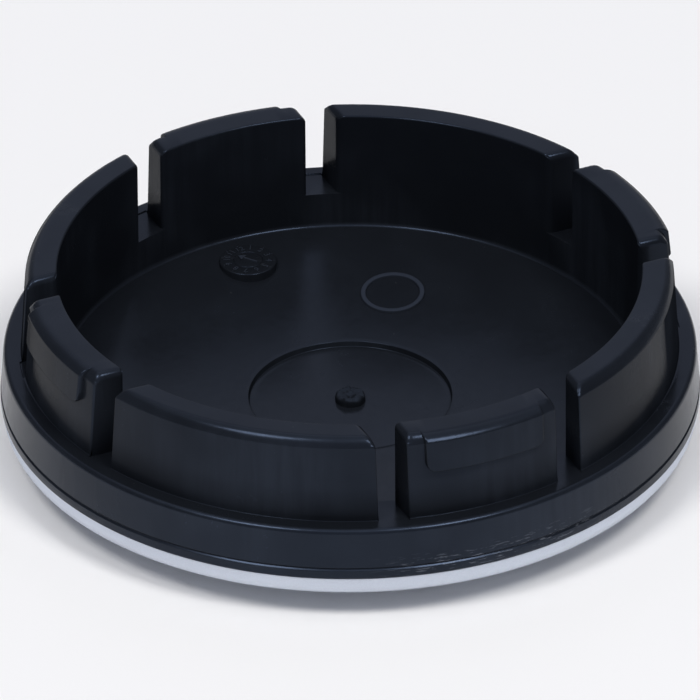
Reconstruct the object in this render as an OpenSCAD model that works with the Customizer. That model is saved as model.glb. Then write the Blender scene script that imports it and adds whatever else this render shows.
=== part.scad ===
// Wheel centre cap, lying on its face with the clip ring up.
// The black moulding and the silver face disc share the Z axis, and the
// flat middle of the domed face is at Z = 0. The barbed clips stand on the X
// and Y axes. All sizes are in millimetres.

/* [Fit in the wheel] */
// Diameter of the wheel's centre bore
bore_d = 56.5; // [54:0.5:70]
// Gap between the bore and the foot of the clips
clip_gap = 0.05; // [0.02:0.01:0.1]
// Reach of a barb's tip beyond the bore's wall
barb_grip = 0.15; // [0.1:0.01:0.3]
// Lap of the flange beyond the bore's edge
flange_lap = 1.75; // [1.5:0.05:5]
// Height of the barb's lower edge above the seat, as thick as the bore's lip
barb_from = 4.35; // [4:0.05:6]

/* [Flange] */
// Height of the black side, from the face disc up to the seat
flange_h = 4.65; // [4.2:0.05:6]
// Draft of the side, from the largest diameter up to the seat edge
flange_draft = 0.3; // [0.2:0.05:0.5]
// Height of the lower band under the shadow groove
band_h = 0.95; // [0.7:0.05:1.3]
// Depth of the shadow groove above the band
groove_depth = 0.15; // [0.08:0.01:0.25]
// Rounding of the seat edge
seat_edge_r = 0.5; // [0.3:0.05:0.7]

/* [Clip ring] */
// Wall of the clip ring at its foot
clip_wall = 3.2; // [2.8:0.1:4]
// Shift inwards of the clips' outer wall, from its foot to its top edge
clip_lean = 0.45; // [0.3:0.05:0.6]
// Distance from the barb's lower edge up to the top of the clips
barb_to_top = 3.4; // [3:0.05:4.5]
// Width of the flat on top of the clips, before the slope at its outer edge
top_flat = 1.75; // [1.4:0.05:1.9]
// Drop of the slope at the outer edge of the plain clips' top
lead_in_drop = 0.8; // [0.5:0.05:1]

/* [Slots] */
// Width of a barbed clip, between its parallel ends
clip_w = 13.8; // [12:0.1:15]
// Width of the slots on both sides of a barbed clip
slot_w = 2.5; // [2:0.1:3]
// Depth of the slot floor below the seat
slot_sink = 0.1; // [0.05:0.01:0.2]
// Reach of the slot floor beyond the foot of the clips
slot_lap = 0.2; // [0.15:0.05:0.4]
// Bevel on the top edges of the slots
slot_top_bevel = 0.5; // [0.2:0.05:0.7]
// Bevel on the inner upright edges of the slots
slot_side_bevel = 0.4; // [0.2:0.05:0.6]

/* [Barbs] */
// Step in from the end of a clip to the side of its barb
barb_inset = 1.45; // [0.8:0.05:2.2]
// Rounding of the barb's lower corners
barb_corner_r = 0.9; // [0.5:0.1:1.3]
// Shift inwards of the barb's face, from its lower edge up to its lead-in
barb_taper = 0.25; // [0.15:0.05:0.3]
// Extra width of the flat behind a barb, before its lead-in
barb_flat = 0.15; // [0.1:0.05:0.2]
// Drop of the lead-in slope across a barb
barb_drop = 0.54; // [0.3:0.02:0.7]

/* [Floor] */
// Thickness of the domed floor
floor_t = 2.15; // [1.8:0.05:2.6]
// Rounding where the floor meets the clip ring
floor_edge_r = 0.4; // [0.3:0.05:0.6]
// Diameter of the shallow round well at the centre
well_d = 17.4; // [14:0.2:20]
// Depth of the well
well_depth = 0.25; // [0.15:0.05:0.4]
// Diameter of the gate stub in the well
gate_d = 2.6; // [2:0.1:3.2]
// Height of the gate stub above the well
gate_h = 0.65; // [0.4:0.05:0.9]

/* [Mould marks] */
// Diameter of the date dial boss
dial_d = 5; // [4:0.1:5.6]
// Distance from the clip ring's inner wall to the date dial
dial_gap = 1.1; // [0.6:0.1:2]
// Height of the dial boss above the floor at its middle
dial_h = 0.45; // [0.3:0.05:0.7]
// Number of ticks round the dial
dial_ticks = 12; // [6:1:16]
// Width and height of the fine lines on the dial
line_w = 0.2; // [0.15:0.05:0.3]
// Bearing of the dial's arrow, from the outward direction
arrow_bearing = 35; // [0:5:355]
// Outside diameter of the plain ring mark
ring_d = 5.6; // [4.5:0.1:6.5]
// Width of the ring mark's line
ring_line = 0.45; // [0.3:0.05:0.8]
// Distance of the ring mark from the cap's axis
ring_at = 16; // [14:0.1:18]
// Bearing of the ring mark, from +X
ring_bearing = 52.3; // [48:0.1:58]
// Height of the ring mark above the floor at its middle
mark_h = 0.18; // [0.12:0.02:0.3]

/* [Face disc] */
// Step in from the flange to the disc's edge
disc_inset = 0.15; // [0.1:0.01:0.25]
// Thickness of the face disc, square to the dome
disc_t = 1.7; // [1.5:0.05:2.2]
// Rounding of the disc's outer edge
disc_edge_r = 1.2; // [0.8:0.1:1.4]
// Radius of the domed face
dome_r = 160; // [130:5:260]
// Diameter of the face's flat middle, on which the cap lies
flat_d = 20; // [12:1:28]

/* [Hidden] */
// Facets round the cap
turn_fn = 160;
// Facets of a dome's full circle
dome_fn = 360;
// Facets of small round things
small_fn = 32;
// Steps along the rounded edges
edge_steps = 8;
// Overlap where shapes are fused or cut
eps = 0.02;
// Height by which a cut runs out of the material
clear = 1;
// Radii from the wheel's bore outwards and inwards
bore_r = bore_d / 2;
flange_r = bore_r + flange_lap;
disc_r = flange_r - disc_inset;
barb_r = bore_r + barb_grip;
clip_base_r = bore_r - clip_gap;
clip_top_r = clip_base_r - clip_lean;
clip_ir = clip_base_r - clip_wall;
// Height of the domes' common centre above the flat middle of the face
dome_z = sqrt(dome_r * dome_r - flat_d * flat_d / 4);
joint_r = dome_r - disc_t;
floor_r = joint_r - floor_t;
// Height of the joint between disc and body at the disc's edge
joint_z = dome_height(joint_r, disc_r);
seat_z = joint_z + flange_h;
band_z = joint_z + band_h;
barb_z = seat_z + barb_from;
top_z = barb_z + barb_to_top;
well_z = dome_height(floor_r, 0) - well_depth;
// Half widths measured from the middle of a barbed clip
clip_half = clip_w / 2;
barb_half = clip_half - barb_inset;
slot_far = clip_half + slot_w;
dial_at = clip_ir - dial_gap - dial_d / 2;
// Outer edge of the clips' flat, and the same behind a barb
flat_r = clip_ir + top_flat;
barb_flat_r = flat_r + barb_flat;
// Depth by which a barb is rooted in its clip
barb_root = 1.2;
// Angle that a barb's profile is turned through, wider than the barb
barb_span = 40;
// Reach of the side bevels, clear of the ring's inner wall
cut_spread = 2;
// The far edge meets the wall at a flatter angle, so its bevel starts closer
far_bevel = slot_side_bevel * 0.7;
// Where the near and far ends of a slot meet the ring's inner wall
near_x = sqrt(clip_ir * clip_ir - clip_half * clip_half) + slot_side_bevel;
far_x = sqrt(clip_ir * clip_ir - slot_far * slot_far) + far_bevel;
// Reach of a slot's cut, from inside the ring to outside the barbs
cut_in = far_x - 2 * cut_spread;
cut_out = barb_r + clear;
// Radius at which the slot floors end on the seat
slot_r = clip_base_r + slot_lap;
// Depth by which the marks are rooted in the floor
mark_root = 0.4;

// Height of a dome of radius r at a distance x from the axis
function dome_height(r, x) = dome_z - sqrt(r * r - x * x);

// Points of an arc from angle a to angle b
function arc_points(cx, cy, r, a, b) =
    [for (i = [0 : edge_steps])
        let (t = a + (b - a) * i / edge_steps)
        [cx + r * cos(t), cy + r * sin(t)]];

// Region of a section inside a dome of radius r
module inside_dome(r) {
    translate([0, dome_z])
        circle(r = r, $fn = dome_fn);
}

// Outline of the moulding's section, with the dome side left long
module body_outline() {
    edge = seat_edge_r;
    edge_x = flange_r - flange_draft - edge;
    polygon(concat(
        [[0, 0], [flange_r, 0], [flange_r, band_z - groove_depth]],
        [[flange_r - groove_depth, band_z]],
        [[flange_r - groove_depth / 3, band_z + groove_depth]],
        arc_points(edge_x, seat_z - edge, edge, 0, 90),
        [[clip_base_r, seat_z], [clip_top_r, top_z - lead_in_drop]],
        [[flat_r, top_z], [0, top_z]]
    ));
}

// Hollow of the section: the space inside the ring, down to the floor
module hollow_outline() {
    edge = floor_edge_r;
    rim_z = dome_height(floor_r, clip_ir - edge) + edge;
    intersection() {
        polygon(concat(
            [[-eps, 0], [clip_ir - edge, 0]],
            arc_points(clip_ir - edge, rim_z, edge, -90, 0),
            [[clip_ir, top_z + clear], [-eps, top_z + clear]]
        ));
        inside_dome(floor_r);
    }
}

// The moulding turned in one: flange, floor and a closed clip ring
module turned_body() {
    rotate_extrude($fn = turn_fn)
        intersection() {
            difference() {
                body_outline();
                hollow_outline();
            }
            inside_dome(joint_r);
        }
}

// One barb, on +X: a wedge with upright sides and round lower corners
module barb() {
    root_r = clip_top_r - barb_root;
    intersection() {
        rotate([0, 0, -barb_span / 2])
            rotate_extrude(angle = barb_span, $fn = turn_fn)
                polygon([
                    [root_r, barb_z], [barb_r, barb_z],
                    [barb_r - barb_taper, top_z - barb_drop],
                    [barb_flat_r, top_z], [root_r, top_z]
                ]);
        rotate([90, 0, 90])
            linear_extrude(height = cut_out)
                barb_outline();
    }
}

// The barb seen from outside
module barb_outline() {
    r = barb_corner_r;
    polygon(concat(
        [[barb_half, top_z + clear], [-barb_half, top_z + clear]],
        arc_points(r - barb_half, barb_z + r, r, 180, 270),
        arc_points(barb_half - r, barb_z + r, r, 270, 360)
    ));
}

// Slot between a barbed clip on +X and its neighbour on the +Y side
module slot() {
    floor_z = seat_z - slot_sink;
    intersection() {
        translate([0, 0, floor_z])
            linear_extrude(height = top_z - floor_z + clear)
                polygon([
                    [cut_out, clip_half], [near_x, clip_half],
                    [near_x - cut_spread, clip_half - cut_spread],
                    [cut_in, clip_half - cut_spread], [cut_in, slot_far + cut_spread],
                    [far_x - cut_spread, slot_far + cut_spread],
                    [far_x, slot_far], [cut_out, slot_far]
                ]);
        cylinder(r = slot_r, h = top_z + 2 * clear, $fn = turn_fn);
    }
    slot_mouth();
}

// Wider mouth that bevels both top edges of a slot
module slot_mouth() {
    low_z = top_z - slot_top_bevel;
    rise = slot_top_bevel + clear;
    translate([cut_in, 0, 0])
        rotate([90, 0, 90])
            linear_extrude(height = cut_out - cut_in)
                polygon([
                    [clip_half, low_z], [slot_far, low_z],
                    [slot_far + rise, low_z + rise], [clip_half - rise, low_z + rise]
                ]);
}

// The eight slots, one on each side of the four barbed clips
module slots() {
    for (turn = [0 : 90 : 270])
        rotate([0, 0, turn]) {
            slot();
            mirror([0, 1, 0])
                slot();
        }
}

// Round post rooted in the floor at a distance from the axis, up to a height
module post(at, d, top) {
    base = dome_height(floor_r, at - d / 2) - mark_root;
    translate([at, 0, base])
        cylinder(d = d, h = top - base, $fn = small_fn);
}

// Date dial: a boss with raised ticks all round and an arrow
module date_dial() {
    top = dome_height(floor_r, dial_at) + dial_h;
    tick_l = dial_d * 0.13;
    tick_from = dial_d * 0.3;
    post(dial_at, dial_d, top);
    translate([dial_at, 0, top - eps]) {
        for (i = [0 : dial_ticks - 1])
            rotate([0, 0, i * 360 / dial_ticks])
                translate([tick_from, -line_w / 2, 0])
                    cube([tick_l, line_w, line_w]);
        rotate([0, 0, arrow_bearing])
            dial_arrow();
    }
}

// Arrow at the middle of the dial: a bar with a pointed head
module dial_arrow() {
    reach = dial_d * 0.25;
    head_l = dial_d * 0.14;
    head_half = dial_d * 0.1;
    bar_w = line_w * 1.5;
    translate([-reach, -bar_w / 2, 0])
        cube([2 * reach - head_l / 2, bar_w, line_w]);
    linear_extrude(height = line_w)
        polygon([[reach, 0], [reach - head_l, head_half], [reach - head_l, -head_half]]);
}

// Plain ring mark on the floor
module ring_mark() {
    top = dome_height(floor_r, ring_at) + mark_h;
    difference() {
        post(ring_at, ring_d, top);
        translate([ring_at, 0, 0])
            cylinder(d = ring_d - 2 * ring_line, h = top + clear, $fn = small_fn);
    }
}

// Shallow well at the centre of the floor
module well() {
    translate([0, 0, well_z])
        cylinder(d = well_d, h = floor_t, $fn = turn_fn);
}

// Stub left by the gate, on the bottom of the well
module gate_stub() {
    translate([0, 0, well_z - eps])
        cylinder(d = gate_d, h = gate_h + eps, $fn = small_fn);
}

// Black moulding: flange, clip ring with barbs, floor and mould marks
module clip_body() {
    color("#1d2024") {
        difference() {
            union() {
                turned_body();
                for (turn = [0 : 90 : 270])
                    rotate([0, 0, turn])
                        barb();
                rotate([0, 0, 90])
                    date_dial();
                rotate([0, 0, ring_bearing])
                    ring_mark();
            }
            slots();
            well();
        }
        gate_stub();
    }
}

// Silver face disc: domed, with a flat middle and a rounded outer edge
module face_disc() {
    edge = disc_edge_r;
    edge_x = disc_r - edge;
    edge_z = dome_height(dome_r - edge, edge_x);
    tilt = asin(edge_x / (dome_r - edge));
    color("#c4c7c9")
        rotate_extrude($fn = turn_fn)
            difference() {
                intersection() {
                    polygon(concat(
                        [[0, 0], [edge_x + edge * sin(tilt), 0]],
                        arc_points(edge_x, edge_z, edge, tilt - 90, 0),
                        [[disc_r, joint_z + clear], [0, joint_z + clear]]
                    ));
                    inside_dome(dome_r);
                }
                inside_dome(joint_r);
            }
}

clip_body();
face_disc();
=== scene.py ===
import math

import bmesh
import bpy
from mathutils import Matrix, Vector, noise


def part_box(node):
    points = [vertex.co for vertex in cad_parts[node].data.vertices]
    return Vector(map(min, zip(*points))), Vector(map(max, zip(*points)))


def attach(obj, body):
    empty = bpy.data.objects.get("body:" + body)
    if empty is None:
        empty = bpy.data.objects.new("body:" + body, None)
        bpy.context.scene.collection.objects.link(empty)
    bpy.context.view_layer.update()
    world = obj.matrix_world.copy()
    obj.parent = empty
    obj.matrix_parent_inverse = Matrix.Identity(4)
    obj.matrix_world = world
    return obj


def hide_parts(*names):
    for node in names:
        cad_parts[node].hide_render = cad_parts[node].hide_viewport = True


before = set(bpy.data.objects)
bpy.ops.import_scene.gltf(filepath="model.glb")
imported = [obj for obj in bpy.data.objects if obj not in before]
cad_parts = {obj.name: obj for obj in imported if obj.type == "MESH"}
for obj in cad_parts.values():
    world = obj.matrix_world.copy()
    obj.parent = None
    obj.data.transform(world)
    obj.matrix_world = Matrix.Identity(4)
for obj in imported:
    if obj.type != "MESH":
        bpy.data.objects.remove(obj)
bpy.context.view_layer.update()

# Sizes are in millimetres, and meshes are written in metres
MM = 0.001

# Sizes read from the frame
_, body_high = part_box("clip_body")
_, disc_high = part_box("face_disc")
FLANGE_R = body_high.x / MM
TOP_Z = body_high.z / MM
DISC_R = disc_high.x / MM

# Domes of face, joint and floor, which share one centre
DOME_R = 160.0
FLAT_R = 10.0
DISC_T = 1.7
FLOOR_T = 2.15
DOME_Z = math.sqrt(DOME_R**2 - FLAT_R**2)
JOINT_R = DOME_R - DISC_T
FLOOR_R = JOINT_R - FLOOR_T

# Face disc: rounding of its edge, and the small bevel at the joint
FACE_EDGE = 1.2
FACE_BEVEL = 0.08

# Flange: band under the shadow groove, drafted side and rounded edges
FLANGE_H = 4.65
FLANGE_DRAFT = 0.3
BAND_H = 0.95
GROOVE = 0.15
GROOVE_LIP = 0.06
GROOVE_FOOT = 0.04
UNDER_EDGE = 0.1
SEAT_EDGE = 0.5
JOINT_Z = DOME_Z - math.sqrt(JOINT_R**2 - DISC_R**2)
BAND_Z = JOINT_Z + BAND_H
SEAT_Z = JOINT_Z + FLANGE_H

# Clip ring: leaning outer wall, rolled lead-in and flat top
BORE_R = 28.25
CLIP_GAP = 0.05
CLIP_WALL = 3.2
CLIP_LEAN = 0.45
TOP_FLAT = 1.75
LEAD_IN_DROP = 0.8
ROLL = 0.6
CLIP_BASE_R = BORE_R - CLIP_GAP
CLIP_TOP_R = CLIP_BASE_R - CLIP_LEAN
CLIP_IR = CLIP_BASE_R - CLIP_WALL
CROWN_R = CLIP_IR + TOP_FLAT
LEAD_IN_Z = TOP_Z - LEAD_IN_DROP

# Four barbed clips, half the width of one, and the slots on both sides of it
BARBED_CLIPS = 4
PITCH = 2 * math.pi / BARBED_CLIPS
CLIP_HALF = 6.9
SLOT_W = 2.5
SLOT_SINK = 0.1
SLOT_LAP = 0.2
SLOT_LIP = 0.03
SLOT_FAR = CLIP_HALF + SLOT_W
SLOT_Z = SEAT_Z - SLOT_SINK
SLOT_R = CLIP_BASE_R + SLOT_LAP

# Barbs
BARB_GRIP = 0.15
BARB_TAPER = 0.25
BARB_FLAT = 0.15
BARB_INSET = 1.45
BARB_TO_TOP = 3.4
BARB_DROP = 0.54
BARB_CORNER = 0.9
BARB_R = BORE_R + BARB_GRIP
BARB_TOP_R = BARB_R - BARB_TAPER
BARB_CROWN_R = CROWN_R + BARB_FLAT
BARB_HALF = CLIP_HALF - BARB_INSET
BARB_Z = TOP_Z - BARB_TO_TOP
BARB_TOP_Z = TOP_Z - BARB_DROP

# Roundings round a clip: outer and inner uprights, tops of its ends and sides of its barb
EDGE_OUT = 0.16
EDGE_IN = 0.45
EDGE_END = 0.65
EDGE_BARB = 0.16

# Roundings up a clip: foot, barb's lower edge, ends of barb's face and wall, inner top edge
FOOT_EDGE = 0.05
LIP_EDGE = 0.12
BARB_BEND = 0.2
WALL_BEND = 0.35
INNER_EDGE = 0.18

# Share of the shorter line beside a corner that its rounding may take, and half the angle
# between two lines from which they count as straight
ARC_ROOM = 0.45
NEARLY_STRAIGHT = math.radians(89.5)

# Steps of the roundings up a clip, the same with and without a barb
FOOT_STEPS = 3
LIP_STEPS = 3
WALL_STEPS = 3
BARB_STEPS = 4
ROLL_STEPS = 7
INNER_STEPS = 4

# Floor, the well in its middle, and the gate stub in the well
FLOOR_EDGE = 0.4
WELL_R = 8.7
WELL_DEPTH = 0.25
WELL_EDGE = 0.07
WELL_DRAFT = 0.03
WELL_Z = DOME_Z - FLOOR_R - WELL_DEPTH
GATE_R = 1.3
GATE_H = 0.65
GATE_ROOT = 0.3

# Rings of the gate stub, as shares of its radius: on its side with shares of its height, and on top
GATE_SIDE = ((1.0, 0.15), (0.97, 0.55), (0.94, 0.8))
GATE_TOP = (0.86, 0.75, 0.62, 0.5, 0.38, 0.26, 0.13, 0.0)

# Date dial: boss, groove round its insert, and places of numbers and ticks as shares of its radius
DIAL_R = 2.5
DIAL_GAP = 1.1
DIAL_H = 0.45
DIAL_EDGE = 0.1
DIAL_DRAFT = 0.03
DIAL_ROOT = 0.3
INSERT_R = DIAL_R * 0.5
INSERT_GROOVE = 0.07
INSERT_DEPTH = 0.12
INSERT_EDGE = 0.03
INSERT_FOOT = 0.02
HOURS = 12
NUMBERS_AT = 0.72
NUMBER_SIZE = 0.837
TICKS_AT = 0.93
TICK_LENGTH = 0.13
TICK_W = 0.1
TICK_DRAFT = 0.02
DIAL_AT = CLIP_IR - DIAL_GAP - DIAL_R
DIAL_TOP = DOME_Z - math.sqrt(FLOOR_R**2 - DIAL_AT**2) + DIAL_H

# Fine lines on the dial, and its arrow, whose points are measured from the dial's middle
LINE_ROOT = 0.03
LINE_H = 0.07
ARROW_H = 0.13
ARROW_BEARING = math.radians(90 + 35)
ARROW_W = 0.2
ARROW_TAIL = 0.95
ARROW_BARBS = 0.4
ARROW_NECK = 0.5
ARROW_TIP = 1.05
ARROW_HALF = 0.42
ARROW_DRAFT = 0.03

# Plain ring mark
RING_AT = 16.0
RING_BEARING = math.radians(52.3)
RING_R = 2.8
RING_LINE = 0.5
RING_H = 0.2
RING_ROOT = 0.2
RING_EDGE = 0.09
RING_DRAFT = 0.04

# Meshes: distance within which points are one, length under which an edge is dropped, and
# angle in degrees from which an edge is sharp, on moulded pieces and on the torn stub
WELD = 0.002
SHORT_EDGE = 0.001
SHARP = 32
TORN_SHARP = 50

# Radii between which a mask for the flange alone rises, just outside the clips
FLANGE_MASK = (28.6, 29.0)

# Scuffs: size of a mark, heights and bearings between which they fade in and out
SCUFF_LENGTH = 1.6
SCUFF_WIDTH = 0.2
SCUFF_HEIGHTS = (JOINT_Z, JOINT_Z + 0.4, SEAT_Z - 3.4, SEAT_Z - 2.4)
SCUFF_BEGIN = math.radians(-112)
SCUFF_END = math.radians(-66)
SCUFF_FADE = 0.2

# Colours; a pair is a range
BLACK = ((0.0072, 0.0084, 0.0112), (0.0100, 0.0118, 0.0152))
BLACK_MARKS = ((0.017, 0.020, 0.028), (0.021, 0.025, 0.034))
DRAG_COLOUR = (0.020, 0.024, 0.032)
WORN_COLOUR = (0.020, 0.022, 0.026)
DUST_COLOUR = (0.12, 0.12, 0.12)
SCUFF_COLOUR = (0.15, 0.16, 0.18)
SHEEN_TINT = (0.50, 0.66, 1.0, 1.0)
SILVER = ((0.53, 0.57, 0.65), (0.69, 0.74, 0.83))
PALE_FLOOR = ((0.94, 0.92, 0.895), (0.96, 0.94, 0.915))
SURROUND = ((0.33, 0.36, 0.45), (0.11, 0.12, 0.15))

# Finish: ranges of sheen and roughness, and depths of the surfaces' relief
PLASTIC_IOR = 1.45
PLASTIC_SHEEN = (0.32, 0.40)
PLASTIC_ROUGH = (0.18, 0.25)
SKIN_ROUGH = (-0.03, 0.04)
WORN_ROUGH = 0.12
MATT_ROUGH = 0.4
SILVER_ROUGH = (0.30, 0.42)
SILVER_METAL = 0.7
SKIN_DEPTH = 0.004
DRAG_DEPTH = 0.003
GRAIN_DEPTH = 0.001
PEEL_DEPTH = 0.004

# Camera: bearing and height of the view, its roll, the drop of its aim below the middle of the
# seat, its distance in metres, and its lens
AZIMUTH = math.radians(-24.25)
ELEVATION = math.radians(31.96)
VIEW_ROLL = math.radians(-0.39)
VIEW_DROP = 0.463
VIEW_DISTANCE = 1.486
LENS = 892
SENSOR = 36
RIGHT = Vector((math.cos(AZIMUTH), math.sin(AZIMUTH), 0))
AWAY = Vector((-math.sin(AZIMUTH), math.cos(AZIMUTH), 0))

# Lamps: name, place to the right of, behind and above the cap, size in metres and power
LAMPS = (
    ("overhead", (0.0, -0.1, 1.55), 2.4, 7),
    ("front_left", (-0.56, -0.59, 1.38), 0.5, 8),
    ("front_right", (0.56, -0.59, 1.38), 0.5, 9),
)

# Point that the lamps face, and radius of the pale floor, in metres
LAMP_AIM = Vector((0, 0, 0.01))
STAGE_R = 6.0


# Outlines

def dome_height(r, x):
    """Height of a dome of radius r at a distance x from the axis."""
    return DOME_Z - math.sqrt(r * r - x * x)


def on_dome(r, x):
    """Point of a dome of radius r at a distance x from the axis."""
    return (x, dome_height(r, x))


def wall_r(z):
    """Radius of the clips' leaning outer wall at a height."""
    return CLIP_BASE_R - CLIP_LEAN * (z - SEAT_Z) / (LEAD_IN_Z - SEAT_Z)


def spread(a, b, n):
    """n values from a to b, both included."""
    return [a + (b - a) * i / (n - 1) for i in range(n)]


def between(a, b, share):
    """Point between two points."""
    return (a[0] + (b[0] - a[0]) * share, a[1] + (b[1] - a[1]) * share)


def corner_arc(before, corner, after, radius, steps):
    """Points of the rounding at a corner, kept to less than half of the lines beside it."""
    p = Vector(corner)
    to_a = Vector(before) - p
    to_b = Vector(after) - p
    room = ARC_ROOM * min(to_a.length, to_b.length)
    to_a.normalize()
    to_b.normalize()
    half = to_a.angle(to_b) / 2
    if half > NEARLY_STRAIGHT:
        reach = min(radius, room)
        return [tuple(p + (to_a * (1 - t) + to_b * t) * reach) for t in spread(0, 1, steps + 1)]
    reach = min(radius / math.tan(half), room)
    radius = reach * math.tan(half)
    centre = p + (to_a + to_b).normalized() * (radius / math.sin(half))
    start = p + to_a * reach - centre
    end = p + to_b * reach - centre
    from_angle = math.atan2(start.y, start.x)
    turn = math.atan2(start.x * end.y - start.y * end.x, start.dot(end))
    return [
        (centre.x + radius * math.cos(from_angle + turn * t),
         centre.y + radius * math.sin(from_angle + turn * t))
        for t in spread(0, 1, steps + 1)
    ]


def rounded(corners):
    """Points of a line; a corner (x, z) stays sharp, and (x, z, radius, steps) is rounded."""
    points = [corners[0]]
    for before, here, after in zip(corners, corners[1:], corners[2:]):
        if len(here) == 2:
            points.append(here)
        else:
            points += corner_arc(before[:2], here[:2], after[:2], here[2], here[3])
    points.append(corners[-1])
    return points


# Meshes

def mesh_object(name, bm, material, sharp=SHARP):
    """Object made from a closed bmesh in millimetres, smooth but for its sharp edges."""
    bmesh.ops.remove_doubles(bm, verts=bm.verts, dist=WELD)
    bmesh.ops.dissolve_degenerate(bm, edges=bm.edges, dist=SHORT_EDGE)
    bmesh.ops.recalc_face_normals(bm, faces=bm.faces)
    bmesh.ops.scale(bm, verts=bm.verts, vec=(MM, MM, MM))
    mesh = bpy.data.meshes.new(name)
    bm.to_mesh(mesh)
    bm.free()
    mesh.polygons.foreach_set("use_smooth", [True] * len(mesh.polygons))
    mesh.set_sharp_from_angle(angle=math.radians(sharp))
    mesh.materials.append(material)
    piece = bpy.data.objects.new(name, mesh)
    bpy.context.scene.collection.objects.link(piece)
    weighted = piece.modifiers.new("flat faces stay flat", "WEIGHTED_NORMAL")
    weighted.keep_sharp = True
    return piece


def add_rows(bm, rows):
    """Quads between rows of points, the last of which is joined to the first."""
    made = [[bm.verts.new(p) for p in row] for row in rows]
    for a, b in zip(made, made[1:] + made[:1]):
        for i in range(len(a) - 1):
            bm.faces.new((a[i], a[i + 1], b[i + 1], b[i]))


def add_turned(bm, profile, steps, at=(0.0, 0.0)):
    """Turned form round an upright axis, from a profile of (radius, height) points."""
    rows = []
    for k in range(steps):
        a = 2 * math.pi * k / steps
        rows.append([(at[0] + r * math.cos(a), at[1] + r * math.sin(a), z) for r, z in profile])
    add_rows(bm, rows)


def add_drafted(bm, rings):
    """Closed shape between a lower and an upper ring of points."""
    bottom, top = ([bm.verts.new(p) for p in ring] for ring in rings)
    bm.faces.new(bottom[::-1])
    bm.faces.new(top)
    for i in range(len(bottom)):
        j = (i + 1) % len(bottom)
        bm.faces.new((bottom[i], bottom[j], top[j], top[i]))


def add_bar(bm, start, end, width, low, high, draft):
    """Straight moulded bar with drafted sides between two points."""
    along = (end - start).normalized()
    side = Vector((-along.y, along.x)) * width / 2
    rings = []
    for z, pull in ((low, 0.0), (high, draft)):
        s = side * (1 - 2 * pull / width)
        a, b = start + along * pull, end - along * pull
        rings.append([(p.x, p.y, z) for p in (a + s, b + s, b - s, a - s)])
    add_drafted(bm, rings)


def add_outline(bm, outline, low, high, draft):
    """Flat moulded shape with drafted sides, from an outline of points."""
    centre = sum(outline, Vector((0, 0))) / len(outline)
    rings = []
    for z, pull in ((low, 0.0), (high, draft)):
        ring = [p + (centre - p).normalized() * pull for p in outline]
        rings.append([(p.x, p.y, z) for p in ring])
    add_drafted(bm, rings)


def add_number(bm, text, at, turn, low, high):
    """Plain raised number with its middle at a point, turned by an angle."""
    curve = bpy.data.curves.new("number", "FONT")
    curve.body = text
    curve.align_x = "CENTER"
    curve.align_y = "CENTER"
    curve.size = NUMBER_SIZE
    curve.resolution_u = 2
    curve.extrude = (high - low) / 2
    holder = bpy.data.objects.new("number", curve)
    made = bpy.data.meshes.new_from_object(holder)
    place = Matrix.Translation((at[0], at[1], (low + high) / 2)) @ Matrix.Rotation(turn, 4, "Z")
    made.transform(place)
    bm.from_mesh(made)
    bpy.data.objects.remove(holder)
    bpy.data.curves.remove(curve)
    bpy.data.meshes.remove(made)


# The moulding: one connected mesh, built station by station round the axis

def flange_part():
    """Profile from the axis under the joint, round the flange and over the seat."""
    under = [on_dome(JOINT_R, x) for x in spread(0, FLANGE_R - 1, 8)]
    side = rounded([
        under[-1],
        (*on_dome(JOINT_R, FLANGE_R), UNDER_EDGE, 3),
        (FLANGE_R, BAND_Z - GROOVE, GROOVE_LIP, 3),
        (FLANGE_R - GROOVE, BAND_Z - GROOVE / 3, GROOVE_FOOT, 2),
        (FLANGE_R - GROOVE, BAND_Z, GROOVE_FOOT, 2),
        (FLANGE_R - GROOVE / 3, BAND_Z + GROOVE, GROOVE_LIP, 3),
        (FLANGE_R - FLANGE_DRAFT, SEAT_Z, SEAT_EDGE, 9),
        (SLOT_R, SEAT_Z),
    ])
    return under + side[1:]


def floor_part():
    """Profile from the clips' inner wall over the floor and the well to the axis."""
    rim = rounded([
        (CLIP_IR, SLOT_Z),
        (*on_dome(FLOOR_R, CLIP_IR), FLOOR_EDGE, 6),
        on_dome(FLOOR_R, CLIP_IR - 2),
    ])
    dome = [on_dome(FLOOR_R, x) for x in spread(CLIP_IR - 3.5, WELL_R + 1, 8)]
    well = rounded([
        on_dome(FLOOR_R, WELL_R + 0.5),
        (WELL_R + WELL_DRAFT, dome_height(FLOOR_R, WELL_R), WELL_EDGE, 3),
        (WELL_R - WELL_DRAFT, WELL_Z, WELL_EDGE, 3),
        (WELL_R - 0.6, WELL_Z),
        (WELL_R / 2, WELL_Z),
        (0, WELL_Z),
    ])
    return rim + dome + well


def roll_bend(corner, crown):
    """Point that a lead-in bends towards between its lower corner and the flat."""
    return (crown[0] + ROLL * (corner[0] - crown[0]), crown[1])


def rolled(start, bend, crown, shares):
    """Points of a lead-in that rolls over from its start until it is level at the flat."""
    return [between(between(start, bend, t), between(bend, crown, t), t) for t in shares]


def lead_in_arc(out, top):
    """Rounding between the plain wall and its lead-in, drawn in near a clip's end."""
    below = (wall_r(LEAD_IN_Z - 1) - out, LEAD_IN_Z - 1)
    corner = (CLIP_TOP_R - out, LEAD_IN_Z)
    bend = roll_bend(corner, (CROWN_R, TOP_Z - top))
    return corner_arc(below, corner, bend, WALL_BEND, WALL_STEPS)


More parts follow.
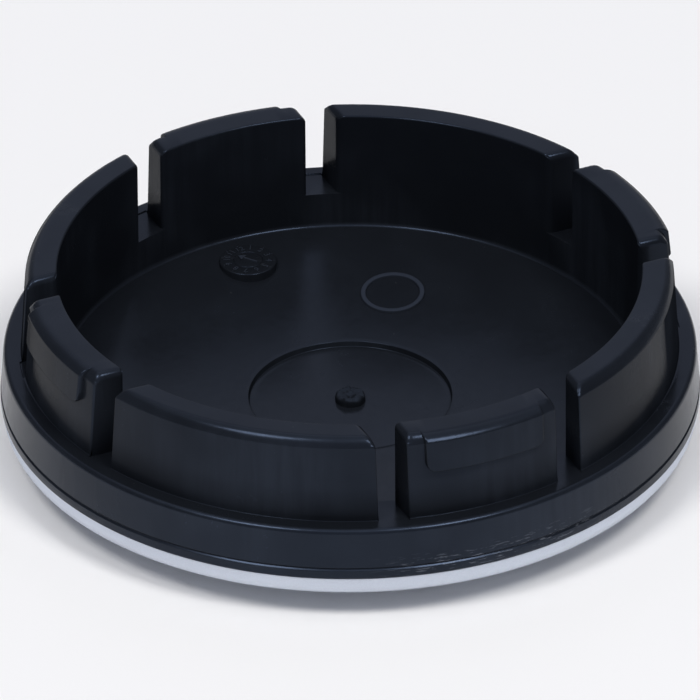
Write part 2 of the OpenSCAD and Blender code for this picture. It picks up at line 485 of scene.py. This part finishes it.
def barb_stretches(low, inset):
    """A barb's lower edge, face, bend and lead-in, drawn in near its side."""
    low += inset
    tip = (BARB_R - inset, low)
    upper = (BARB_TOP_R - inset, BARB_TOP_Z - inset / 2)
    crown = (BARB_CROWN_R - inset, TOP_Z)
    root = (wall_r(low), low)
    lip = [root] + corner_arc(root, tip, upper, LIP_EDGE, LIP_STEPS)
    front = [between(tip, upper, (z - low) / (upper[1] - low)) for _, z in lead_in_arc(0, 0)]
    bend = roll_bend(upper, crown)
    bent = corner_arc(tip, upper, bend, BARB_BEND, BARB_STEPS)
    lead_in = rolled(bent[-1], bend, crown, spread(0, 1, ROLL_STEPS + 1)[1:])
    return lip, front, bent, lead_in


def barb_part(low, inset):
    """Barb's outline from its underside up to the flat."""
    return [point for stretch in barb_stretches(low, inset) for point in stretch]


def bare_part(out, top):
    """The barb's points laid on the plain clip's outline, drawn in near a clip's end."""
    lip, _, bent, _ = barb_stretches(BARB_Z + BARB_CORNER, EDGE_BARB)
    wall = [(wall_r(z) - out, z) for _, z in lip]
    arc = lead_in_arc(out, top)
    crown = (CROWN_R, TOP_Z - top)
    bend = roll_bend((CLIP_TOP_R - out, LEAD_IN_Z), crown)
    rise = TOP_Z - lead_in_arc(0, 0)[-1][1]
    shares = [1 - math.sqrt(min((TOP_Z - z) / rise, 1.0)) for _, z in bent]
    shares += spread(shares[-1], 1, ROLL_STEPS + 1)[1:]
    return wall + arc + rolled(arc[-1], bend, crown, shares)


def clip_part(end_share, barb):
    """Points of a clip's outline, drawn in by a share near its end, and the end's roundings there."""
    out, top, inner = (edge * end_share for edge in (EDGE_OUT, EDGE_END, EDGE_IN))
    foot_r = CLIP_BASE_R - out
    above = (foot_r - 0.1, SEAT_Z + 2)
    foot = corner_arc((SLOT_R, SEAT_Z), (foot_r, SEAT_Z), above, FOOT_EDGE, FOOT_STEPS)
    wall = [(wall_r(SEAT_Z + rise) - out, SEAT_Z + rise) for rise in (0.2, 0.8, 3)]
    flank = barb if barb else bare_part(out, top)
    inside = rounded([
        (CROWN_R, TOP_Z - top),
        (CLIP_IR + inner, TOP_Z - top, INNER_EDGE, INNER_STEPS),
        (CLIP_IR + inner, SLOT_Z),
    ])[1:]
    points = foot + wall + flank + inside
    on_wall = len(foot) + len(wall) + LIP_STEPS + 2
    on_bends = WALL_STEPS + BARB_STEPS + 2
    on_top = ROLL_STEPS + INNER_STEPS
    edges = [EDGE_OUT] * on_wall + spread(EDGE_OUT, EDGE_END, on_bends) + [EDGE_END] * on_top
    edges += [EDGE_IN] * (len(points) - len(edges))
    return points, edges


def slot_part():
    """The clip's points laid down the slot's rim and along its floor."""
    points, _ = clip_part(1.0, None)
    rim = [
        (SLOT_R - SLOT_LIP * 2 / 3, SEAT_Z - SLOT_LIP * 2 / 3),
        (SLOT_R - SLOT_LIP, SLOT_Z + SLOT_LIP),
        (SLOT_R - SLOT_LIP * 2, SLOT_Z),
        (SLOT_R - SLOT_LIP * 4, SLOT_Z),
    ]
    lengths = [0.0]
    for a, b in zip(points[len(rim):], points[len(rim) + 1:]):
        lengths.append(lengths[-1] + math.dist(a, b))
    first = SLOT_R - SLOT_LAP
    last = CLIP_IR + EDGE_IN + 0.05
    return rim + [(first + (last - first) * s / lengths[-1], SLOT_Z) for s in lengths]


def half_stations():
    """Stations from the middle of a barbed clip to the middle of its neighbour.

    Each is (kind, place, share at the end rounding, barb's outline or None)."""
    straight = BARB_HALF - BARB_CORNER

    def barbed(y, inset=0.0):
        """Station on a barb, whose lower edge rises round its corner."""
        over = min(max(y - straight, 0.0), BARB_CORNER)
        low = BARB_Z + BARB_CORNER - math.sqrt(BARB_CORNER**2 - over**2)
        return ("at", y, 0.0, barb_part(low, inset))

    made = [barbed(y) for y in spread(0, straight, 9)]
    made += [barbed(straight + BARB_CORNER * math.sin(math.radians(a))) for a in (18, 36, 54)]
    for a in (0, 30, 60, 90):
        short = EDGE_BARB * (1 - math.sin(math.radians(a)))
        inset = EDGE_BARB * (1 - math.cos(math.radians(a)))
        made.append(barbed(BARB_HALF - short, inset))
    made.append(("at", BARB_HALF, 0.0, None))
    made += [("to_end", t, 0.0, None) for t in (0.35, 0.7)]
    arc = [(a, 1 - math.cos(math.radians(a))) for a in spread(0, 90, 8)]
    made += [("near_end", a, share, None) for a, share in arc]
    made += [("slot", y, 1.0, None) for y in spread(CLIP_HALF, SLOT_FAR, 3)]
    made += [("far_end", a, share, None) for a, share in reversed(arc)]
    made += [("neighbour", t, 0.0, None) for t in spread(0, 1, 15)[1:]]
    return made


def station_angle(kind, place, edge, r):
    """Bearing of a point from the middle of its barbed clip, in radians."""
    r = min(max(r, CLIP_IR), BARB_R)
    rise = edge * (1 - math.sin(math.radians(place)))
    if kind == "to_end":
        y = BARB_HALF + (CLIP_HALF - edge - BARB_HALF) * place
    elif kind == "near_end":
        y = CLIP_HALF - rise
    elif kind == "far_end":
        y = SLOT_FAR + rise
    elif kind == "neighbour":
        start = math.asin((SLOT_FAR + edge) / r)
        return start + (PITCH / 2 - start) * place
    else:
        y = place
    return math.asin(y / r)


def station_rows():
    """Rows of points of the whole moulding, once round the axis."""
    flange, floor, slot = flange_part(), floor_part(), slot_part()
    rows = []
    for kind, place, share, barb in half_stations():
        points, edges = clip_part(share, barb)
        if kind == "slot":
            points = slot
        profile = flange + points + floor
        edges = [EDGE_OUT] * len(flange) + edges + [EDGE_IN] * len(floor)
        rows.append([(r, z, station_angle(kind, place, e, r)) for (r, z), e in zip(profile, edges)])
    mirrored = [[(r, z, PITCH - a) for r, z, a in row] for row in rows[-2:0:-1]]
    return [
        [(r * math.cos(a + turn * PITCH), r * math.sin(a + turn * PITCH), z) for r, z, a in row]
        for turn in range(BARBED_CLIPS)
        for row in rows + mirrored
    ]


def moulding(material):
    """Black moulding: flange, clips, barbs, slots and floor in one mesh."""
    bm = bmesh.new()
    add_rows(bm, station_rows())
    return mesh_object("moulding", bm, material)


# Marks on the floor, and the face

def date_dial(material):
    """Boss of the date dial on the floor, with the groove round its insert."""
    bm = bmesh.new()
    base = dome_height(FLOOR_R, DIAL_AT - DIAL_R) - DIAL_ROOT
    profile = rounded([
        (0, base),
        (DIAL_R, base),
        (DIAL_R - DIAL_DRAFT, DIAL_TOP, DIAL_EDGE, 4),
        (INSERT_R + INSERT_GROOVE, DIAL_TOP, INSERT_EDGE, 2),
        (INSERT_R, DIAL_TOP - INSERT_DEPTH, INSERT_FOOT, 1),
        (INSERT_R - INSERT_GROOVE, DIAL_TOP, INSERT_EDGE, 2),
        (0, DIAL_TOP),
    ])
    add_turned(bm, profile, 72, (0.0, DIAL_AT))
    return mesh_object("date_dial", bm, material)


def dial_marks(material):
    """Numbers and ticks round the date dial, and the arrow on its insert."""
    bm = bmesh.new()
    middle = Vector((0.0, DIAL_AT))
    low, high = DIAL_TOP - LINE_ROOT, DIAL_TOP + LINE_H
    for hour in range(1, HOURS + 1):
        a = math.radians(90 - 360 / HOURS * hour)
        out = Vector((math.cos(a), math.sin(a)))
        place = middle + out * DIAL_R * NUMBERS_AT
        add_number(bm, str(hour), place, a - math.pi / 2, low, high)
        rim = middle + out * DIAL_R * TICKS_AT
        add_bar(bm, rim - out * TICK_LENGTH, rim, TICK_W, low, high, TICK_DRAFT)
    out = Vector((math.cos(ARROW_BEARING), math.sin(ARROW_BEARING)))
    side = Vector((-out.y, out.x)) * ARROW_HALF
    tail, neck = middle - out * ARROW_TAIL, middle + out * ARROW_NECK
    tip, barbs = middle + out * ARROW_TIP, middle + out * ARROW_BARBS
    high = DIAL_TOP + ARROW_H
    add_bar(bm, tail, neck, ARROW_W, low, high, ARROW_DRAFT)
    add_outline(bm, [tip, barbs + side, barbs - side], low, high, ARROW_DRAFT)
    return mesh_object("dial_marks", bm, material)


def ring_mark(material):
    """Plain raised ring that follows the domed floor."""
    bm = bmesh.new()
    level = dome_height(FLOOR_R, RING_AT)
    top = level + RING_H
    base = level - RING_ROOT
    inner = RING_R - RING_LINE
    profile = rounded([
        (inner + 0.05, base),
        (RING_R, base),
        (RING_R - RING_DRAFT, top, RING_EDGE, 4),
        (inner + RING_DRAFT, top, RING_EDGE, 4),
        (inner, base),
        (inner + 0.05, base),
    ])
    at = (RING_AT * math.cos(RING_BEARING), RING_AT * math.sin(RING_BEARING))
    add_turned(bm, profile, 96, at)
    for v in bm.verts:
        v.co.z += dome_height(FLOOR_R, math.hypot(v.co.x, v.co.y)) - level
    return mesh_object("ring_mark", bm, material)


def torn_top(share, a):
    """Point of the stub's torn top, which has coarse and fine lumps and a dip in the middle."""
    x, y = GATE_R * share * math.cos(a), GATE_R * share * math.sin(a)
    coarse = 0.22 * noise.noise((1.9 * x, 1.9 * y, 3.0))
    fine = 0.12 * noise.noise((5 * x, 5 * y, 1.0))
    dip = 0.16 * math.exp(-((share - 0.05) / 0.3) ** 2)
    return (x, y, WELL_Z + GATE_H + (coarse + fine) - dip)


def gate_stub(material):
    """Stub where the gate was twisted off: a short post with a torn top."""
    bm = bmesh.new()
    rows = []
    steps = 60
    base = WELL_Z - GATE_ROOT
    for k in range(steps):
        a = 2 * math.pi * k / steps
        ragged = 1 + 0.05 * noise.noise((2.2 * math.cos(a), 2.2 * math.sin(a), 7.0))
        row = [(0.0, 0.0, base), (GATE_R * math.cos(a), GATE_R * math.sin(a), base)]
        for share, height in GATE_SIDE:
            r = share * GATE_R * ragged
            row.append((r * math.cos(a), r * math.sin(a), WELL_Z + GATE_H * height))
        rows.append(row + [torn_top(share, a) for share in GATE_TOP])
    add_rows(bm, rows)
    return mesh_object("gate_stub", bm, material, TORN_SHARP)


def face(material):
    """Silver face disc with a flat middle, a soft dome and a rounded edge."""
    edge_x = DISC_R - FACE_EDGE
    edge_z = dome_height(DOME_R - FACE_EDGE, edge_x)
    tilt = math.asin(edge_x / (DOME_R - FACE_EDGE))
    flat = [(0, 0), (FLAT_R * 0.5, 0), (FLAT_R - 0.8, 0.0)]
    dome = [(x, max(dome_height(DOME_R, x), 0.0)) for x in spread(FLAT_R, edge_x, 14)]
    arc = [
        (edge_x + FACE_EDGE * math.cos(a), edge_z + FACE_EDGE * math.sin(a))
        for a in spread(tilt - math.pi / 2, 0, 12)
    ]
    rim = [(DISC_R, JOINT_Z - FACE_BEVEL)]
    back = [on_dome(JOINT_R, x) for x in spread(DISC_R - FACE_BEVEL, 0, 10)]
    bm = bmesh.new()
    add_turned(bm, flat + dome + arc + rim + back, 288)
    return mesh_object("silver_face", bm, material)


# Nodes

def new_material(name):
    """Node material with its node tree and its shader."""
    material = bpy.data.materials.new(name)
    material.use_nodes = True
    tree = material.node_tree
    return material, tree, tree.nodes["Principled BSDF"]


def add_node(tree, kind, **settings):
    """Node with its settings."""
    node = tree.nodes.new(kind)
    for key, value in settings.items():
        setattr(node, key, value)
    return node


def noise_node(tree, vector, scale, detail, rough=0.5, distortion=0.0):
    """Noise texture on a vector in millimetres."""
    node = add_node(tree, "ShaderNodeTexNoise")
    node.inputs["Scale"].default_value = scale
    node.inputs["Detail"].default_value = detail
    node.inputs["Roughness"].default_value = rough
    node.inputs["Distortion"].default_value = distortion
    tree.links.new(vector, node.inputs["Vector"])
    return node.outputs["Fac"]


def cells(tree, vector, scale):
    """Cells spread at random on a vector in millimetres."""
    node = add_node(tree, "ShaderNodeTexVoronoi", feature="F1")
    node.inputs["Scale"].default_value = scale
    tree.links.new(vector, node.inputs["Vector"])
    return node


def ramp(tree, value, low, high, to_low=0.0, to_high=1.0):
    """Value mapped from one range to another, held at both ends."""
    node = add_node(tree, "ShaderNodeMapRange", clamp=True)
    node.inputs["From Min"].default_value = low
    node.inputs["From Max"].default_value = high
    node.inputs["To Min"].default_value = to_low
    node.inputs["To Max"].default_value = to_high
    tree.links.new(value, node.inputs["Value"])
    return node.outputs["Result"]


def maths(tree, operation, a, b=None):
    """Result of an operation on one or two values; the second may be a number."""
    node = add_node(tree, "ShaderNodeMath", operation=operation)
    tree.links.new(a, node.inputs[0])
    if isinstance(b, (int, float)):
        node.inputs[1].default_value = b
    elif b is not None:
        tree.links.new(b, node.inputs[1])
    return node.outputs[0]


def product(tree, first, *others):
    """Values multiplied."""
    for other in others:
        first = maths(tree, "MULTIPLY", first, other)
    return first


def largest(tree, first, *others):
    """Largest of the values."""
    for other in others:
        first = maths(tree, "MAXIMUM", first, other)
    return first


def window(tree, value, begin, full, fade, end):
    """1 from full to fade, and down to 0 at begin and at end."""
    return product(tree, ramp(tree, value, begin, full), ramp(tree, value, end, fade))


def blend_colours(tree, share, a, b):
    """Colour between a and b; each is a colour or a socket."""
    node = add_node(tree, "ShaderNodeMix", data_type="RGBA")
    tree.links.new(share, node.inputs["Factor"])
    for key, colour in (("A", a), ("B", b)):
        socket = [s for s in node.inputs if s.name == key and s.type == "RGBA"][0]
        if isinstance(colour, tuple):
            socket.default_value = (*colour, 1.0)
        else:
            tree.links.new(colour, socket)
    return [s for s in node.outputs if s.type == "RGBA"][0]


def scaled_position(tree, scale):
    """Object position in millimetres, scaled by axis."""
    position = add_node(tree, "ShaderNodeTexCoord").outputs["Object"]
    node = add_node(tree, "ShaderNodeMapping")
    node.inputs["Scale"].default_value = tuple(s / MM for s in scale)
    tree.links.new(position, node.inputs["Vector"])
    return node.outputs["Vector"]


def split(tree, vector):
    """The three parts of a vector."""
    node = add_node(tree, "ShaderNodeSeparateXYZ")
    tree.links.new(vector, node.inputs["Vector"])
    return [node.outputs[axis] for axis in "XYZ"]


def bump(tree, height, depth, normal=None):
    """Bump of a height field, with its depth in millimetres."""
    node = add_node(tree, "ShaderNodeBump")
    node.inputs["Strength"].default_value = 1.0
    node.inputs["Distance"].default_value = depth * MM
    tree.links.new(height, node.inputs["Height"])
    if normal is not None:
        tree.links.new(normal, node.inputs["Normal"])
    return node.outputs["Normal"]


# Materials

def flange_mask(tree, x, y):
    """1 on the flange, outside the clips, and 0 on all else."""
    square = maths(tree, "ADD", product(tree, x, x), product(tree, y, y))
    inner, outer = FLANGE_MASK
    return ramp(tree, square, inner**2, outer**2)


def plastic_sheen(tree, plain, facing_up, cloud):
    """Cloudy sheen with painted shade: weak at the foot of the clips, fading where a face is seen
    edge-on, and lower on faces of the clips and floor that are not level.
    """
    x, y, z = split(tree, plain)
    flange = flange_mask(tree, x, y)
    level_face = ramp(tree, maths(tree, "ABSOLUTE", facing_up), 0.3, 0.6)
    # Painted shade: the sheen is held low near the foot of the clips
    painted_foot_shade = ramp(tree, z, SEAT_Z + 0.3, SEAT_Z + 3.2, 0.03, 0.95)
    edge_on = add_node(tree, "ShaderNodeLayerWeight").outputs["Facing"]
    # Painted shade: the sheen fades where a face is seen edge-on
    on_walls = ramp(tree, edge_on, 0.15, 0.76, 1.0, 0.0)
    on_flats = product(tree, ramp(tree, edge_on, 0.5, 0.84, 1.0, 0.0), level_face)
    on_flange = product(tree, ramp(tree, edge_on, 0.35, 0.7, 1.0, 0.6), flange)
    # Painted shade: the sheen is lowered on faces inside the flange that are not level
    on_lead_ins = ramp(tree, facing_up, 0.93, 0.985, 0.7, 1.0)
    return product(
        tree,
        ramp(tree, cloud, 0.3, 0.7, *PLASTIC_SHEEN),
        largest(tree, painted_foot_shade, level_face, flange),
        largest(tree, on_walls, on_flats, on_flange),
        largest(tree, on_lead_ins, flange),
    )


def drag_streaks(tree, plain, upright, facing_up):
    """Faint upright streaks in patches on the steep faces."""
    streaks = ramp(tree, noise_node(tree, upright, 1.0, 4, 0.65), 0.38, 0.62, 0.2, 0.5)
    patches = ramp(tree, noise_node(tree, plain, 0.085, 2), 0.46, 0.62)
    steep = ramp(tree, maths(tree, "ABSOLUTE", facing_up), 0.3, 0.9, 1.0, 0.0)
    return product(tree, streaks, patches, steep)


def worn_edges(tree, plain, pointiness):
    """Edges rubbed here and there."""
    rubbed = ramp(tree, noise_node(tree, plain, 0.9, 4, 0.7), 0.42, 0.62)
    return product(tree, ramp(tree, pointiness, 0.53, 0.62), rubbed)


def dust(tree, plain, facing_up):
    """Sparse specks on faces that look up."""
    speck = ramp(tree, cells(tree, plain, 0.75).outputs["Distance"], 0.05, 0.025)
    chosen = ramp(tree, noise_node(tree, plain, 0.45, 2), 0.56, 0.6)
    return product(tree, speck, chosen, ramp(tree, facing_up, 0.3, 0.9))


def scuffs(tree, plain):
    """Short scuffs along the foot of the flange, between two bearings."""
    x, y, z = split(tree, plain)
    bearing = maths(tree, "ARCTAN2", y, x)
    along = add_node(tree, "ShaderNodeCombineXYZ")
    tree.links.new(product(tree, bearing, FLANGE_R / SCUFF_LENGTH), along.inputs["X"])
    tree.links.new(product(tree, z, 1 / SCUFF_WIDTH), along.inputs["Z"])
    marks = ramp(tree, noise_node(tree, along.outputs["Vector"], 1.0, 3, 0.65), 0.57, 0.62)
    low = window(tree, z, *SCUFF_HEIGHTS)
    full, fade = SCUFF_BEGIN + SCUFF_FADE, SCUFF_END - SCUFF_FADE
    near = window(tree, bearing, SCUFF_BEGIN, full, fade, SCUFF_END)
    return product(tree, marks, low, near, flange_mask(tree, x, y))


def plastic_material(name, colours=BLACK, extra_rough=0.0):
    """Black moulded plastic: satin skin, drag marks, worn edges, dust and scuffs."""
    material, tree, shader = new_material(name)
    plain = scaled_position(tree, (1, 1, 1))
    upright = scaled_position(tree, (1, 1, 0.05))
    cloud = noise_node(tree, plain, 0.16, 4, 0.55, 0.4)
    skin = noise_node(tree, plain, 1.4, 4, 0.6)
    drag = noise_node(tree, upright, 2.6, 3, 0.6)
    grain = noise_node(tree, plain, 9.0, 2)
    surface = add_node(tree, "ShaderNodeNewGeometry")
    facing_up = split(tree, surface.outputs["Normal"])[2]
    worn = worn_edges(tree, plain, surface.outputs["Pointiness"])

    base = blend_colours(tree, cloud, *colours)
    for share, colour in (
        (drag_streaks(tree, plain, upright, facing_up), DRAG_COLOUR),
        (product(tree, worn, 0.5), WORN_COLOUR),
        (product(tree, dust(tree, plain, facing_up), 0.25), DUST_COLOUR),
        (product(tree, scuffs(tree, plain), 0.6), SCUFF_COLOUR),
    ):
        base = blend_colours(tree, share, base, colour)
    tree.links.new(base, shader.inputs["Base Color"])

    rough = ramp(tree, cloud, 0.3, 0.7, *PLASTIC_ROUGH)
    skin_rough = ramp(tree, skin, 0.3, 0.7, *SKIN_ROUGH)
    for part in (skin_rough, product(tree, worn, WORN_ROUGH), extra_rough):
        rough = maths(tree, "ADD", rough, part)
    tree.links.new(rough, shader.inputs["Roughness"])
    sheen = plastic_sheen(tree, plain, facing_up, cloud)
    tree.links.new(sheen, shader.inputs["Specular IOR Level"])

    normal = None
    for height, depth in ((skin, SKIN_DEPTH), (drag, DRAG_DEPTH), (grain, GRAIN_DEPTH)):
        normal = bump(tree, height, depth, normal)
    tree.links.new(normal, shader.inputs["Normal"])
    shader.inputs["IOR"].default_value = PLASTIC_IOR
    shader.inputs["Specular Tint"].default_value = SHEEN_TINT
    return material


def silver_material():
    """Satin silver paint: fine flake, slight orange peel and a cloudy sheen."""
    material, tree, shader = new_material("satin_silver_paint")
    plain = scaled_position(tree, (1, 1, 1))
    cloud = noise_node(tree, plain, 0.12, 3)
    peel = noise_node(tree, plain, 1.1, 2)
    grey = add_node(tree, "ShaderNodeSeparateColor")
    tree.links.new(cells(tree, plain, 14.0).outputs["Color"], grey.inputs["Color"])
    flake = ramp(tree, grey.outputs[0], 0.0, 1.0, 0.25, 0.75)
    tone = product(tree, maths(tree, "ADD", flake, cloud), 0.5)
    tree.links.new(blend_colours(tree, tone, *SILVER), shader.inputs["Base Color"])
    tree.links.new(ramp(tree, tone, 0.2, 0.8, *SILVER_ROUGH), shader.inputs["Roughness"])
    tree.links.new(bump(tree, peel, PEEL_DEPTH), shader.inputs["Normal"])
    shader.inputs["Metallic"].default_value = SILVER_METAL
    return material


def floor_material():
    """Plain pale floor."""
    material, tree, shader = new_material("pale_floor")
    tone = noise_node(tree, scaled_position(tree, (0.01, 0.01, 0.01)), 1.0, 2)
    tree.links.new(blend_colours(tree, tone, *PALE_FLOOR), shader.inputs["Base Color"])
    shader.inputs["Roughness"].default_value = 0.9
    shader.inputs["Specular IOR Level"].default_value = 0.1
    return material


# Floor, light and camera

def pale_floor():
    """Large plain floor under the cap."""
    bm = bmesh.new()
    bmesh.ops.create_circle(bm, cap_ends=True, segments=96, radius=STAGE_R)
    mesh = bpy.data.meshes.new("floor")
    bm.to_mesh(mesh)
    bm.free()
    mesh.materials.append(floor_material())
    floor = bpy.data.objects.new("floor", mesh)
    bpy.context.scene.collection.objects.link(floor)


def soft_lamp(name, place, size, power):
    """Large round lamp that faces the cap, placed as the camera sees it."""
    right, away, up = place
    lamp = bpy.data.lights.new(name, "AREA")
    lamp.shape = "DISK"
    lamp.size = size
    lamp.energy = power
    holder = bpy.data.objects.new(name, lamp)
    holder.location = RIGHT * right + AWAY * away + Vector((0, 0, up))
    holder.rotation_mode = "QUATERNION"
    holder.rotation_quaternion = (LAMP_AIM - holder.location).to_track_quat("-Z", "Y")
    bpy.context.scene.collection.objects.link(holder)


def surround():
    """World that is darker to the left and right of the view."""
    world = bpy.data.worlds.new("surround")
    world.use_nodes = True
    tree = world.node_tree
    sideways = add_node(tree, "ShaderNodeVectorMath", operation="DOT_PRODUCT")
    tree.links.new(add_node(tree, "ShaderNodeTexCoord").outputs["Generated"], sideways.inputs[0])
    sideways.inputs[1].default_value = RIGHT
    share = ramp(tree, maths(tree, "ABSOLUTE", sideways.outputs["Value"]), 0.2, 0.6)
    colour = blend_colours(tree, share, *SURROUND)
    tree.links.new(colour, tree.nodes["Background"].inputs["Color"])
    bpy.context.scene.world = world


def camera():
    """Long lens at the photograph's angle, with its slight roll."""
    lens = bpy.data.cameras.new("camera")
    lens.lens = LENS
    lens.sensor_width = SENSOR
    lens.clip_start = 0.1
    lens.clip_end = 20
    holder = bpy.data.objects.new("camera", lens)
    back = Vector((
        math.sin(AZIMUTH) * math.cos(ELEVATION),
        -math.cos(AZIMUTH) * math.cos(ELEVATION),
        math.sin(ELEVATION),
    ))
    up = RIGHT.cross(-back)
    aim = Vector((0, 0, SEAT_Z * MM)) - up * VIEW_DROP * MM
    turn = (-back).to_track_quat("-Z", "Y")
    holder.location = aim + back * VIEW_DISTANCE
    holder.rotation_mode = "QUATERNION"
    holder.rotation_quaternion = turn @ Matrix.Rotation(VIEW_ROLL, 3, "Z").to_quaternion()
    bpy.context.scene.collection.objects.link(holder)
    bpy.context.scene.camera = holder


def main():
    """The dressed cap, its floor, lights and camera."""
    bpy.context.scene.view_settings.view_transform = "Standard"
    plastic = plastic_material("black_moulded_plastic")
    matt = plastic_material("black_plastic_torn", extra_rough=MATT_ROUGH)
    marked = plastic_material("black_plastic_marks", BLACK_MARKS, MATT_ROUGH)
    silver = silver_material()
    body = moulding(plastic)
    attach(body, "root")
    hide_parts("clip_body")
    for mark in (date_dial(plastic), dial_marks(marked), ring_mark(marked), gate_stub(matt)):
        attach(mark, "root")
    disc = face(silver)
    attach(disc, "root")
    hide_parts("face_disc")
    pale_floor()
    for lamp in LAMPS:
        soft_lamp(*lamp)
    surround()
    camera()


main()
